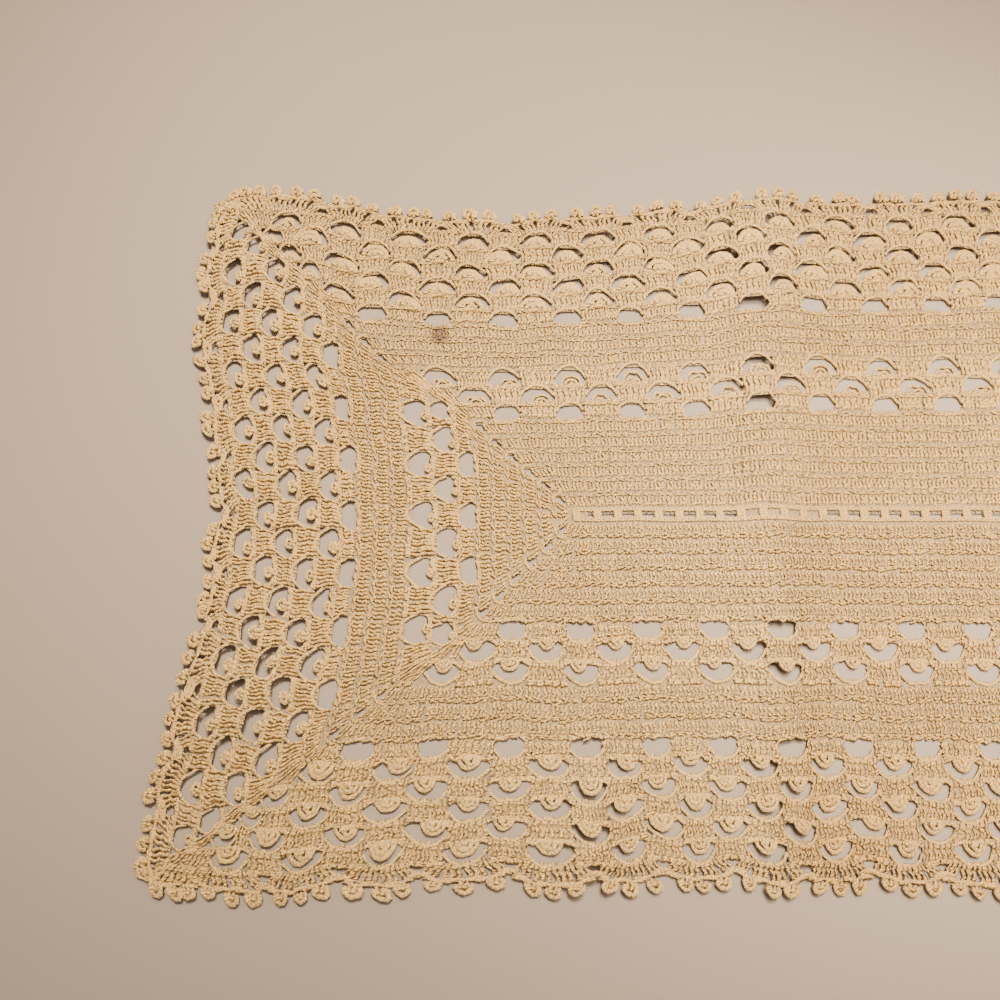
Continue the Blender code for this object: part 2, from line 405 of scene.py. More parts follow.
def rounded_corner(x, y):
    """Draws the sheet's four square corners in to arcs."""
    beyond_x = np.abs(x) - (CENTRE_ROW_HALF + END_DEPTH - CORNER_RADIUS)
    beyond_y = np.abs(y) - (SIDE_DEPTH - CORNER_RADIUS)
    in_corner = (beyond_x > 0) & (beyond_y > 0)
    reach = np.where(in_corner, np.hypot(beyond_x, beyond_y), 1.0)
    draw = np.where(in_corner, np.maximum(beyond_x, beyond_y) / reach - 1.0, 0.0)
    return x + np.sign(x) * beyond_x * draw, y + np.sign(y) * beyond_y * draw


def risen(value, start, over):
    """0 for a value up to a start, and from there up to 1."""
    return np.clip((value - start) / over, 0, 1)


def hand_drift(x, y):
    """The small unevenness of work made by hand, slight in the solid panel, more in the lace."""
    out = np.maximum(np.abs(y) / SIDE_DEPTH, (np.abs(x) - CENTRE_ROW_HALF) / END_DEPTH)
    loose = DRIFT + LACE_DRIFT * risen(out, 0.30, 0.5)
    drift_x, drift_y = (
        sum(np.sin(with_x * x + with_y * y + start) for with_x, with_y, start in waves)
        for waves in DRIFT_WAVES
    )
    return x + loose * drift_x * 0.6, y + loose * drift_y * 0.6


def laid(x, y):
    """Where points of the flat, square sheet lie: their places and heights."""
    x, y = hand_drift(*rounded_corner(x, y))
    side_share = np.minimum(np.abs(y) / SIDE_DEPTH, 1.1) ** EDGE_SHARE_POWER
    out_side = np.where(y > 0, between(LONG_EDGES, x, 1), between(LONG_EDGES, x, 2))
    beyond = np.clip((np.abs(x) - CENTRE_ROW_HALF) / END_BOW_REACH, 0.0, 1.0)
    end_share = beyond * beyond * (3 - 2 * beyond)
    out_end = np.where(x < 0, between(ENDS, y, 1), between(ENDS, y, 2))
    slip = np.where(y < 0, between(LONG_EDGES, x, 3) * side_share, 0.0)
    laid_x = x + np.sign(x) * end_share * out_end + slip - BOX_MIDDLE[0]
    laid_y = y + np.sign(y) * side_share * out_side - BOX_MIDDLE[1]
    ripple = 1 + np.sin(430 * x + 250 * y + 1.0) * np.sin(360 * y - 310 * x + 0.5)
    loose_side = risen(np.abs(y) / SIDE_DEPTH, 0.60, 0.25)
    loose_end = risen((np.abs(x) - CENTRE_ROW_HALF) / END_DEPTH, 0.55, 0.20)
    rise = RIPPLE * np.maximum(loose_side, loose_end) * ripple
    return laid_x, laid_y, fold_height(laid_x, laid_y) + rise


def opening_places(index, side):
    """Middles and half widths of a round's openings on side 0 far, 1 left, 2 near or 3 right."""
    kind = ROUNDS[index][2]
    if side % 2 == 0:
        step, mitre = SIDE_REPEAT, CENTRE_ROW_HALF + (END_LINE[index - 1] + END_LINE[index]) / 2
        shift, usual = (0.5 if index in HALF_STEP_ROUNDS else 0.0), OPENING_HALF[kind]
    else:
        step, mitre = END_REPEAT, (SIDE_LINE[index - 1] + SIDE_LINE[index]) / 2
        shift, usual = (0.0 if index in HALF_STEP_ROUNDS else 0.5), END_OPENING_HALF[kind]
    centres = (np.arange(-20, 20) + shift) * step
    centres = centres[np.abs(centres) <= mitre - CLEAR_OF_MITRE]
    halves = np.full(len(centres), usual)
    close = mitre - centres[-1] < usual + MITRE_STRIP
    halves[[0, -1]] = mitre - centres[-1] - MITRE_STRIP if close else usual
    corner = mitre - CORNER_OPENING_HALF - MITRE_STRIP
    room = corner - centres[-1] - usual - CORNER_OPENING_HALF
    if kind == "shells" and room > 2 * MITRE_STRIP:
        centres = np.concatenate(([-corner], centres, [corner]))
        halves = np.concatenate(([CORNER_OPENING_HALF], halves, [CORNER_OPENING_HALF]))
    return centres, halves


def sheet_cuts(lines, step, opening_half, reach, others=()):
    """Grid lines along one direction: the rounds' edges, and the ends of the openings."""
    cuts = [-reach, reach, *others]
    for line in lines:
        cuts += [-line, line]
    centre = 0.0
    while centre < reach:
        cuts += [s * (centre + t * opening_half) for s in (-1, 1) for t in (-1, 1)]
        centre += step
    cuts = sorted(c for c in cuts if abs(c) <= reach)
    kept = [cuts[0]]
    for cut in cuts[1:]:
        if cut - kept[-1] > SMALLEST_CELL:
            kept.append(cut)
    fine = [kept[0]]
    for cut in kept[1:]:
        parts = math.ceil((cut - fine[-1]) / SHEET_CELL)
        fine += list(fine[-1] + (cut - fine[-1]) * np.arange(1, parts + 1) / parts)
    return np.array(fine)


def make_piece(name, points, corners, sizes, attributes):
    """A mesh object from joined arrays: points, face corners, face sizes, point attributes."""
    mesh = bpy.data.meshes.new(name)
    mesh.vertices.add(len(points))
    mesh.vertices.foreach_set("co", points.astype(np.float32).ravel())
    mesh.loops.add(len(corners))
    mesh.loops.foreach_set("vertex_index", corners.astype(np.int32))
    mesh.polygons.add(len(sizes))
    starts = np.concatenate(([0], np.cumsum(sizes)[:-1]))
    mesh.polygons.foreach_set("loop_start", starts.astype(np.int32))
    mesh.polygons.foreach_set("loop_total", np.asarray(sizes, np.int32))
    mesh.polygons.foreach_set("use_smooth", np.ones(len(sizes), bool))
    for label, values in attributes.items():
        kind = "FLOAT_VECTOR" if values.ndim == 2 else "FLOAT"
        layer = mesh.attributes.new(label, kind, "POINT")
        layer.data.foreach_set("vector" if values.ndim == 2 else "value", values.ravel())
    mesh.update(calc_edges=True)
    return add_object(name, mesh)


open_side = [e for i in OPEN_ROUNDS for e in (SIDE_LINE[i - 1] + BAND, SIDE_LINE[i])]
open_end = [
    CENTRE_ROW_HALF + e for i in OPEN_ROUNDS for e in (END_LINE[i - 1] + BAND, END_LINE[i])
]
centre_half = CENTRE_ROW_HALF + 3.0 * MM  # the first chain runs on a little at each end
bars = np.arange(-centre_half, centre_half, BAR_PITCH)
length_reach = CENTRE_ROW_HALF + END_LINE[-2] + 1.0 * MM
depth_reach = SIDE_LINE[-2] + 1.0 * MM
slot_ends = [bar + e for bar in bars for e in (BAR_HALF, BAR_PITCH - BAR_HALF)]
corner_holes = [
    (
        CENTRE_ROW_HALF + 0.3 * END_LINE[i - 1] + 0.7 * END_LINE[i],
        0.3 * SIDE_LINE[i - 1] + 0.7 * SIDE_LINE[i],
    )
    for i, row in enumerate(ROUNDS)
    if row[2] == "solid"
]
hole_edges = (-CORNER_HOLE_HALF, CORNER_HOLE_HALF)
corner_x = [s * x + e for x, _ in corner_holes for s in (-1, 1) for e in hole_edges]
corner_y = [y + e for _, y in corner_holes for e in hole_edges]
cuts_x = sheet_cuts(
    open_end, SIDE_REPEAT / 2, SHEET_HOLE_HALF, length_reach, slot_ends + corner_x
)
cuts_y = sheet_cuts(
    open_side + corner_y + [SLOT_HALF], END_REPEAT / 2, END_SHEET_HOLE_HALF, depth_reach
)

bm = bmesh.new()
bmesh.ops.create_grid(bm, x_segments=len(cuts_x) - 1, y_segments=len(cuts_y) - 1, size=1.0)
for vert in bm.verts:
    column = round((vert.co.x + 1) / 2 * (len(cuts_x) - 1))
    line = round((vert.co.y + 1) / 2 * (len(cuts_y) - 1))
    vert.co = (cuts_x[column], cuts_y[line], 0.0)

open_places = {(i, s): opening_places(i, s) for i in OPEN_ROUNDS for s in range(4)}


def is_open(x, y):
    """Whether a point of the flat sheet is inside one of the openings."""
    if abs(y) < SLOT_HALF and abs(x) < CENTRE_ROW_HALF:
        # Near the crease the gaps are closed, so the darkened sheet there shows as painted shade.
        closed_for_shade = abs(x - CREASE_X) < SHADE_SHEET_NEAR_CREASE
        return not closed_for_shade and BAR_HALF < (x - bars[0]) % BAR_PITCH < BAR_PITCH - BAR_HALF
    if any(
        abs(abs(x) - hole_x) < CORNER_HOLE_HALF and abs(abs(y) - hole_y) < CORNER_HOLE_HALF
        for hole_x, hole_y in corner_holes
    ):
        return True
    beyond = abs(x) - CENTRE_ROW_HALF
    at_end = beyond > np.interp(abs(y), SIDE_LINE, END_LINE)
    lines, out = (END_LINE, beyond) if at_end else (SIDE_LINE, abs(y))
    index = int(np.searchsorted(lines, out))
    if index not in OPEN_ROUNDS or out < lines[index - 1] + BAND:
        return False
    side = (1 if x < 0 else 3) if at_end else (0 if y > 0 else 2)
    along = y if at_end else x
    middles, halves = open_places[index, side]
    return bool((np.abs(middles - along) < halves + HOLE_EASE).any())


holes = [f for f in bm.faces if is_open(f.calc_center_median().x, f.calc_center_median().y)]
bmesh.ops.delete(bm, geom=holes, context="FACES")
grown = bmesh.ops.extrude_face_region(bm, geom=bm.faces[:])
raised = [g for g in grown["geom"] if isinstance(g, bmesh.types.BMVert)]
bmesh.ops.translate(bm, verts=raised, vec=(0.0, 0.0, SHEET_THICK))
bmesh.ops.recalc_face_normals(bm, faces=bm.faces[:])
bm.verts.index_update()
bm.faces.sort(key=lambda f: sum(v.index**2 for v in f.verts))  # the same order in each run
flat = np.array([v.co[:] for v in bm.verts])
x, y, z = laid(flat[:, 0], flat[:, 1])
for vert, px, py, pz in zip(bm.verts, x, y, z):
    vert.co = (px, py, vert.co.z + pz + SHEET_LOW)
sheet_mesh = bpy.data.meshes.new("crossed_thread")
bm.to_mesh(sheet_mesh)
bm.free()
crossed_thread = add_object("crossed_thread", sheet_mesh)

# The thread between the stitches is matted, and its colour is darkened as painted shade for the
# shade it lies in.
crossed_cotton, tree, surface = new_material("crossed_cotton")
aged = node(tree, "ShaderNodeGroup", node_tree=AGED_COTTON).outputs["Colour"]
place = node(tree, "ShaderNodeTexCoord").outputs["Object"]
matted = clouds(tree, place, 1500.0, 3.0)
shade = ranged(tree, matted, 0.3, 0.7, 0.0, MATTED_SHADE)
tree.links.new(blended(tree, shade, SHADE_AND_FLECK_THREAD, aged), surface.inputs["Base Color"])
bump = node(tree, "ShaderNodeBump", {"Height": matted, "Distance": MATTED_RELIEF})
tree.links.new(bump.outputs[0], surface.inputs["Normal"])
surface.inputs["Roughness"].default_value = 0.9
sheet_mesh.materials.append(crossed_cotton)
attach(crossed_thread, "root")
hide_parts("doily")

# ---------------------------------------------------------------------------------------------
# The centre panel: six rounds of tall stitches, set side by side out from the centre row. Each
# stitch is two twisted strands that stand on the round before, with a chain link over its head.
# ---------------------------------------------------------------------------------------------
STITCH_PITCH = 2.42 * MM
ROW = 5.1  # a template row, in millimetres
MITRE_FAN, MITRE_GAP = 6.0 * MM, 0.4 * MM
LOW_SHADE, LOW_Z, SHADE_FADE = 0.46, 0.62, 0.50  # painted shade: thread low in a stitch is darker than 1.0
HAND_SHIFT, HAND_FAT = (0.10, 0.16, 0.06), (0.90, 1.14)  # how stitches made by hand differ
rng = np.random.RandomState(20)


def stray(spread, count, middle=0.0):
    """Random lengths, as handwork strays round a middle, given in millimetres."""
    return rng.normal(middle * MM, spread * MM, count)


def strand(bm, layer, path, widths, heights, sides):
    """A closed strand along a path: a ring of points at each station, drawn on by extrusion."""
    path = [Vector(p) for p in path]
    face, done = None, 0.0
    for i, centre in enumerate(path):
        ahead = (path[min(i + 1, len(path) - 1)] - path[max(i - 1, 0)]).normalized()
        across = ahead.cross(Vector((0, 0, 1))).normalized()
        up = across.cross(ahead)
        if i == 0:
            ring = bmesh.ops.create_circle(bm, cap_ends=True, segments=sides, radius=1.0)["verts"]
            face = ring[0].link_faces[0]
        else:
            done += (centre - path[i - 1]).length
            face = bmesh.ops.extrude_discrete_faces(bm, faces=[face])["faces"][0]
        for k, loop in enumerate(face.loops):
            angle = 2 * math.pi * (k + 0.5) / sides
            c, s = math.cos(angle), math.sin(angle)
            loop.vert.co = centre + (across * c * widths[i] + up * s * heights[i])
            loop.vert[layer] = (c, s, done)


def stitch_template(strands, shade=1.0):
    """Arrays of one small shape made of strands, its sizes in millimetres."""
    bm = bmesh.new()
    layer = bm.verts.layers.float_vector.new("strand")
    for path, widths, heights, sides in strands:
        strand(bm, layer, path, widths, heights, sides)
    bmesh.ops.remove_doubles(bm, verts=bm.verts[:], dist=1e-5)
    bmesh.ops.recalc_face_normals(bm, faces=bm.faces[:])
    bm.verts.index_update()
    points = np.array([v.co[:] for v in bm.verts])
    # Painted shade: thread that lies lower in the stitch gets a darker tone.
    lit = np.clip((points[:, 2] - LOW_Z) / SHADE_FADE, 0.0, 1.0)
    shape = {
        "points": points,
        "tone_and_shade": shade * (LOW_SHADE + (1 - LOW_SHADE) * lit),
        "strand": np.array([v[layer][:] for v in bm.verts]),
        "corners": np.array([v.index for f in bm.faces for v in f.verts]),
        "sizes": np.array([len(f.verts) for f in bm.faces]),
    }
    bm.free()
    return shape


def grain(start, end, widths, heights, sides=4):
    """A short fat stretch of strand that shows between two crossings, highest in its middle."""
    (x0, y0, z0), (x1, y1, z1) = start, end
    middle = ((x0 + x1) / 2, (y0 + y1) / 2, max(z0, z1) + heights)
    return ((start, middle, end), widths, tuple(0.85 * w for w in widths), sides)


def stitch_variants(strands, count=4, loose=1.0):
    """Templates of one stitch, its strands drawn up a little differently in each."""
    made = []
    for _ in range(count):
        drawn = []
        for path, widths, heights, sides in strands:
            shift = rng.normal(0, loose, (len(path), 3)) * HAND_SHIFT
            path = [tuple(np.array(point) + move) for point, move in zip(path, shift)]
            fat = rng.uniform(*HAND_FAT)
            widths, heights = [fat * w for w in widths], [fat * h for h in heights]
            drawn.append((path, widths, heights, sides))
        made.append(stitch_template(drawn))
    return made


# Strands of a tall stitch: two at its foot, four up its post, and the two legs of its chain link.
FOOT_ON_ROW = [
    grain((-0.84, 1.45, 0.62), (-0.20, 2.75, 1.00), (0.36, 0.58, 0.40), 0.20, 3),
    grain((0.34, 1.50, 0.62), (0.92, 2.65, 1.00), (0.36, 0.56, 0.40), 0.24, 3),
]
FOOT_ON_ARCH = [
    grain((-0.70, 0.25, 0.75), (-0.20, 2.60, 1.05), (0.50, 0.66, 0.42), 0.35, 3),
    grain((0.42, 0.25, 0.75), (0.90, 2.50, 1.05), (0.48, 0.64, 0.42), 0.35, 3),
]
POST = [
    grain((-0.10, 2.15, 0.98), (-0.72, 3.80, 1.00), (0.38, 0.58, 0.40), 0.22, 3),
    grain((1.02, 2.20, 0.98), (0.46, 3.75, 1.00), (0.38, 0.56, 0.40), 0.26, 3),
    grain((-0.84, 3.50, 0.98), (-0.20, 5.00, 0.90), (0.38, 0.58, 0.40), 0.20, 3),
    grain((0.34, 3.55, 0.98), (0.94, 5.00, 0.90), (0.38, 0.56, 0.40), 0.24, 3),
]
LINK = [
    grain((-1.10, 5.42, 1.06), (1.00, 5.00, 1.18), (0.36, 0.54, 0.38), 0.26, 3),
    grain((-1.10, 5.68, 1.06), (1.00, 6.02, 1.14), (0.36, 0.54, 0.38), 0.26, 3),
]
LOW_LINK = [
    grain((-1.10, 5.25, 0.88), (1.05, 5.00, 0.98), (0.40, 0.60, 0.42), 0.20, 3),
    grain((-1.10, 5.50, 0.88), (1.05, 5.85, 0.96), (0.40, 0.60, 0.42), 0.20, 3),
]
TALL_STITCHES = stitch_variants(FOOT_ON_ROW + POST + LINK, 8, 1.3)


def on_side(side, along, out):
    """Points of the flat sheet from their places along one side and out from the middle."""
    c, s = ((1, 0), (0, 1), (-1, 0), (0, -1))[side]
    return along * c - out * s, along * s + out * c


def worked(shape, side, foot, head, foot_out, head_out, foot_width, head_width, lift):
    """Copies of a template, each drawn from its foot to its head and laid with the sheet."""
    count = len(foot)
    a, v, c = (shape["points"][:, i][None, :] for i in range(3))
    share = v / ROW
    spread = np.clip(share, 0.0, 1.0)

    def column(values):
        return np.broadcast_to(np.asarray(values, float), (count,))[:, None]

    foot, head, lift = column(foot), column(head), column(lift)
    foot_out, head_out = column(foot_out), column(head_out)
    foot_width, head_width = column(foot_width), column(head_width)
    width = foot_width + (head_width - foot_width) * spread
    along = foot + (head - foot) * share + a * MM * width
    out = foot_out + (head_out - foot_out) * share
    x, y = on_side(side, along, out)
    x, y, z = laid(x, y)
    z = z + c * MM + lift
    return np.stack([x, y, z], axis=-1)


def mixed(shapes, side, *placing):
    """Batches of copies placed as worked() does, each copy from one of some like templates."""
    count = len(placing[0])
    picked = rng.randint(len(shapes), size=count)
    placing = [np.broadcast_to(np.asarray(values, float), (count,)) for values in placing]
    return [
        (shape, worked(shape, side, *(values[picked == i] for values in placing)))
        for i, shape in enumerate(shapes)
    ]


def joined(name, batches):
    """One piece from batches of (template, laid copies)."""
    points, corners, sizes, strands, tones_and_shade, start = [], [], [], [], [], 0
    for shape, copies in batches:
        count, size = len(copies), len(shape["points"])
        if count == 0:
            continue
        points.append(copies.reshape(-1, 3))
        offsets = start + size * np.arange(count)
        corners.append((shape["corners"][None, :] + offsets[:, None]).ravel())
        sizes.append(np.tile(shape["sizes"], count))
        strands.append(np.tile(shape["strand"], (count, 1)))
        # Each copy gets a random tone, multiplied by its template's painted shade.
        tones_and_shade.append((rng.uniform(0.93, 1.04, count)[:, None] * shape["tone_and_shade"][None, :]).ravel())
        start += count * size
    made = make_piece(
        name,
        np.concatenate(points),
        np.concatenate(corners),
        np.concatenate(sizes),
        {"strand": np.concatenate(strands), "tone_and_shade": np.concatenate(tones_and_shade)},
    )
    made.data.materials.append(COTTON)
    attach(made, "root")
    return made


def round_lines(index, side):
    """A round's foot and head on one side: how far out each is, and its half length."""
    rows = slice(index - 1, index + 1)
    in_depth, in_length = SIDE_LINE[rows], CENTRE_ROW_HALF + END_LINE[rows]
    return (in_depth, in_length) if side % 2 == 0 else (in_length, in_depth)


def at_mitre(places, half):
    """How far stitches lean at a mitred corner: their feet crowd in and their heads fan out."""
    from_mitre = (half[0] + half[1]) / 2 - np.abs(places)
    lean = (half[1] - half[0]) / 2 * np.exp(-np.maximum(from_mitre, 0.0) / MITRE_FAN)
    return np.sign(places) * lean


def solid_row(index, side):
    """A row of tall stitches all along one side of a round."""
    out, half = round_lines(index, side)
    length = half[0] + half[1] - 2 * MITRE_GAP
    count = max(1, round(length / STITCH_PITCH))
    pitch = length / count
    places = (np.arange(count) - (count - 1) / 2) * pitch
    lean = at_mitre(places, half)
    places = places + stray(0.08, count)
    width = pitch / STITCH_PITCH * rng.uniform(0.94, 1.08, count)
    lift = stray(0.07, count)
    foot_out = out[0] + stray(0.10, count)
    head_out = out[1] + stray(0.10, count)
    slant = stray(0.12, count)
    return mixed(
        TALL_STITCHES, side, places - lean, places + lean + slant, foot_out, head_out, width,
        width, lift,
    )


CORNER_PATH = [
    (-2.6, -1.7, 0.95),
    (-1.5, -0.6, 1.15),
    (0.0, -0.15, 1.25),
    (1.5, -0.6, 1.15),
    (2.6, -1.7, 0.95),
]
CORNER_LOOP_OUT = 0.5 * MM
CORNER_LOOPS = stitch_variants([(CORNER_PATH, [0.55, 0.65, 0.58, 0.65, 0.55], [0.5] * 5, 4)])


def corner_loops(index):
    """The chain loop over the small hole at each of a round's four corners."""
    batches = []
    for sign_x, sign_y in ((1, 1), (-1, 1), (-1, -1), (1, -1)):
        shape = CORNER_LOOPS[rng.randint(len(CORNER_LOOPS))]
        across, out, up = (shape["points"] * MM).T
        size = rng.uniform(0.85, 1.05)
        diagonal = (out * size + CORNER_LOOP_OUT) * math.sqrt(0.5)
        sideways = across * size * math.sqrt(0.5)
        x = sign_x * (CENTRE_ROW_HALF + END_LINE[index] + diagonal + sideways)
        y = sign_y * (SIDE_LINE[index] + diagonal - sideways)
        x, y, z = laid(x, y)
        batches.append((shape, np.stack([x, y, z + up], axis=-1)[None]))
    return batches


PANEL_ROUNDS = range(1, 7)
joined(
    "centre_panel_far",
    [b for i in PANEL_ROUNDS for s in (0, 1) for b in solid_row(i, s)]
    + [b for i in PANEL_ROUNDS for b in corner_loops(i)],
)
joined("centre_panel_near", [b for i in PANEL_ROUNDS for s in (2, 3) for b in solid_row(i, s)])

# ---------------------------------------------------------------------------------------------
# The centre row: the first chain, with a bar across it every third stitch and small gaps
# between the bars. The first round is worked into both of its edges.
# ---------------------------------------------------------------------------------------------
CHAIN_PITCH = 1.9 * MM
FLAT_LINK = stitch_template(
    [
        grain((-1.1, -0.05, 0.95), (1.1, -0.25, 1.05), (0.34, 0.46, 0.36), 0.25),
        grain((-1.1, 0.30, 0.95), (1.1, 0.60, 1.05), (0.34, 0.46, 0.36), 0.25),
    ]
)
BAR = stitch_template(
    [
        (
            ((place - 0.1, -2.1, 0.9), (place, 0.0, 1.15), (place - 0.1, 2.1, 0.9)),
            (0.5, 0.7, 0.5),
            (0.4, 0.5, 0.4),
            5,
        )
        for place in (-0.45, 0.55)
    ]
)
BACK_TONE, BACK_OUT = 0.34, 0.45 * MM  # the chain's back loop lies low in the gaps, in shade
BACK_LOOP = stitch_template(
    [(((-1.0, 0.0, 0.45), (1.0, 0.0, 0.45)), (0.64, 0.64), (0.30, 0.30), 4)], BACK_TONE
)


def in_row(shape, places, out, width, lift=0.0):
    """A batch of copies of a template in a straight row along the doily."""
    return shape, worked(shape, 0, places, places, out, out + ROW * MM, width, width, lift)


links = np.arange(-centre_half, centre_half, CHAIN_PITCH)
chains = [
    in_row(FLAT_LINK, links, edge, 0.85, stray(0.04, len(links)))
    for edge in (-1.9 * MM, 1.6 * MM)
]
across_gaps = [in_row(BAR, bars, 0.0, 1.2), in_row(BACK_LOOP, links, BACK_OUT, 1.0)]
joined("centre_row", chains + across_gaps)

# ---------------------------------------------------------------------------------------------
# The inner lace: a round of oblong eyelets and two rounds of shells. A shell is a fan of
# stitches worked into the chain arch below it, and a picot stands on its top, in the next gap.
# ---------------------------------------------------------------------------------------------
GROUP_PITCH = 2.10 * MM
PARTINGS, PARTED_SHARE = (0.2 * MM, 1.0 * MM), 0.75
SHELL_SPREAD = 0.085
FOOT_WIDTH, HEAD_WIDTH = 0.94, 1.04
SPAN = 4.75  # half the length of an arch or a sill, in template millimetres
ARCH_HALF, PICOT_HALF = 4.5 * MM, 4.9 * MM  # half the opening that each fits
GROWN_FROM, GROWN_OVER, GROWN_BY = 0.17, 0.05, 0.15
INNER_ROUNDS, OUTER_ROUNDS = range(7, 10), range(13, 19)
ARCH_STITCHES = stitch_variants(FOOT_ON_ARCH + POST + LOW_LINK)


def half_ring(half, low, rise, z, width, stations):
    """A strand bowed over in half a ring: its path, widths, heights and sides."""
    path, widths = [], []
    for i in range(stations):
        angle = math.pi * i / (stations - 1)
        path.append((half * math.cos(angle), low + rise * math.sin(angle), z))
        widths.append(width * (1.0 + 0.10 * (-1) ** i))
    return path, widths, [0.9 * w for w in widths], 4


def open_loop(start, sweep, stations, half, rise, middle, z):
    """The path of a thread round most of a ring, from an angle in degrees over a sweep."""
    turns = [math.radians(start + sweep * i / (stations - 1)) for i in range(stations)]
    return [(half * math.cos(turn), middle + rise * math.sin(turn), z) for turn in turns]


# Picots in the lace: full domes of chain, thin open rings, and round knobs on a neck.
DOMES = stitch_variants(
    [
        half_ring(2.45, 0.45, 2.35, 0.90, 0.68, 7),
        half_ring(1.45, 0.55, 1.40, 1.20, 0.66, 5),
        grain((-1.6, 0.30, 1.05), (1.6, 0.40, 1.05), (0.5, 0.8, 0.5), 0.25, 3),
        grain((-0.5, 0.90, 1.35), (0.6, 1.00, 1.35), (0.4, 0.7, 0.4), 0.15, 3),
    ]
)
RINGS = stitch_variants(
    [
        half_ring(2.50, 0.40, 2.30, 0.85, 0.40, 9),
        half_ring(1.45, 0.45, 1.35, 0.95, 0.36, 7),
        half_ring(0.55, 0.50, 0.55, 1.00, 0.34, 5),
        grain((-2.2, 0.40, 0.85), (2.2, 0.45, 0.85), (0.4, 0.5, 0.4), 0.15, 3),
    ]
)
KNOB_PATH = open_loop(-50, 280, 7, 1.10, 1.15, 2.00, 1.05)
KNOBS = stitch_variants(
    [
        (KNOB_PATH, [0.58, 0.70, 0.60, 0.70, 0.60, 0.70, 0.58], [0.58] * 7, 4),
        grain((-0.5, 0.2, 0.95), (0.1, 2.6, 1.30), (0.6, 0.7, 0.4), 0.2, 3),
        grain((0.5, 0.2, 0.95), (0.5, 2.2, 1.25), (0.6, 0.6, 0.4), 0.2, 3),
    ]
)


def arch_strand(drop, shoulder):
    """The chain that bridges an opening, bowed outwards, its ends drawn down to the stitches."""
    path = []
    for i in range(9):
        t = i / 4 - 1
        rise = 1 - abs(t) ** shoulder
        path.append((SPAN * t, ROW + 0.90 - drop * (1 - rise), 0.85 + 0.25 * rise))
    widths = [0.55 + 0.08 * (-1) ** i for i in range(9)]
    return (path, widths, [0.54] * 9, 4)


def sill_strand(rise, shoulder):
    """The chain along an opening's foot, its ends turned up at the first stitches."""
    path = [
        (SPAN * t, 0.30 + rise * abs(t) ** shoulder, 0.90)
        for t in (-1.0, -0.85, -0.65, -0.3, 0.3, 0.65, 0.85, 1.0)
    ]
    return (path, [0.50, 0.58] * 4, [0.50] * 8, 4)


SHELL_ARCHES = stitch_variants([arch_strand(3.0, 2.3)])
EYELET_ARCHES = stitch_variants([arch_strand(2.4, 2.8)])
SILLS = stitch_variants([sill_strand(1.1, 4.0)])

# The picots on each side, first of the inner lace and then of the outer.
LACE_PICOTS = (
    (
        # shapes, width, height, how far along they lean in millimetres
        (RINGS, 1.25, 1.45, 0.7),  # far
        (KNOBS, 1.12, 1.05, -1.0),  # left
        (DOMES, 0.88, 1.12, 0.0),  # near
        (KNOBS, 1.12, 1.05, -1.0),  # right
    ),
    (
        (DOMES, 1.46, 1.50, 0.0),
        (KNOBS, 1.36, 1.25, -0.9),
        (DOMES, 1.08, 1.34, 0.0),
        (KNOBS, 1.36, 1.25, -0.9),
    ),
)


def group_places(left, right):
    """Places of the stitches of one group between two openings, most groups parted once."""
    count = max(1, round((right - left) / GROUP_PITCH))
    parting = rng.uniform(*PARTINGS) * (rng.random_sample() < PARTED_SHARE)
    parting = parting if count > 2 else 0.0
    pitch = (right - left - parting) / (count + 0.30)
    order = np.arange(count)
    shift = np.where(order < rng.randint(1, count + 1), -0.5, 0.5) * parting
    return (left + right) / 2 + (order - (count - 1) / 2) * pitch + shift


def lace_picots(index, side, out):
    """The picots on one side of an open round, each in a gap of the round that follows."""
    places, room = open_places[index + 1, side]
    shapes, wide, tall, leaning = LACE_PICOTS[int(index in OUTER_ROUNDS)][side]
    # On the near side they grow towards the corners. In a tight gap they are smaller.
    grown = 1 + GROWN_BY * risen(np.abs(places), GROWN_FROM, GROWN_OVER) * (side == 2)
    tight = np.clip(room / PICOT_HALF, 0.3, 1.0)
    size = grown * rng.uniform(0.88, 1.10, len(places)) * np.maximum(tight, 0.7)
    places = places + (stray(0.60, len(places)) + leaning * MM) * tight
    lift = rng.uniform(0, 0.35 * MM, len(places))
    width, top = wide * size, out + ROW * MM * tall * size
    return mixed(shapes, side, places, places, out, top, width, width, lift)


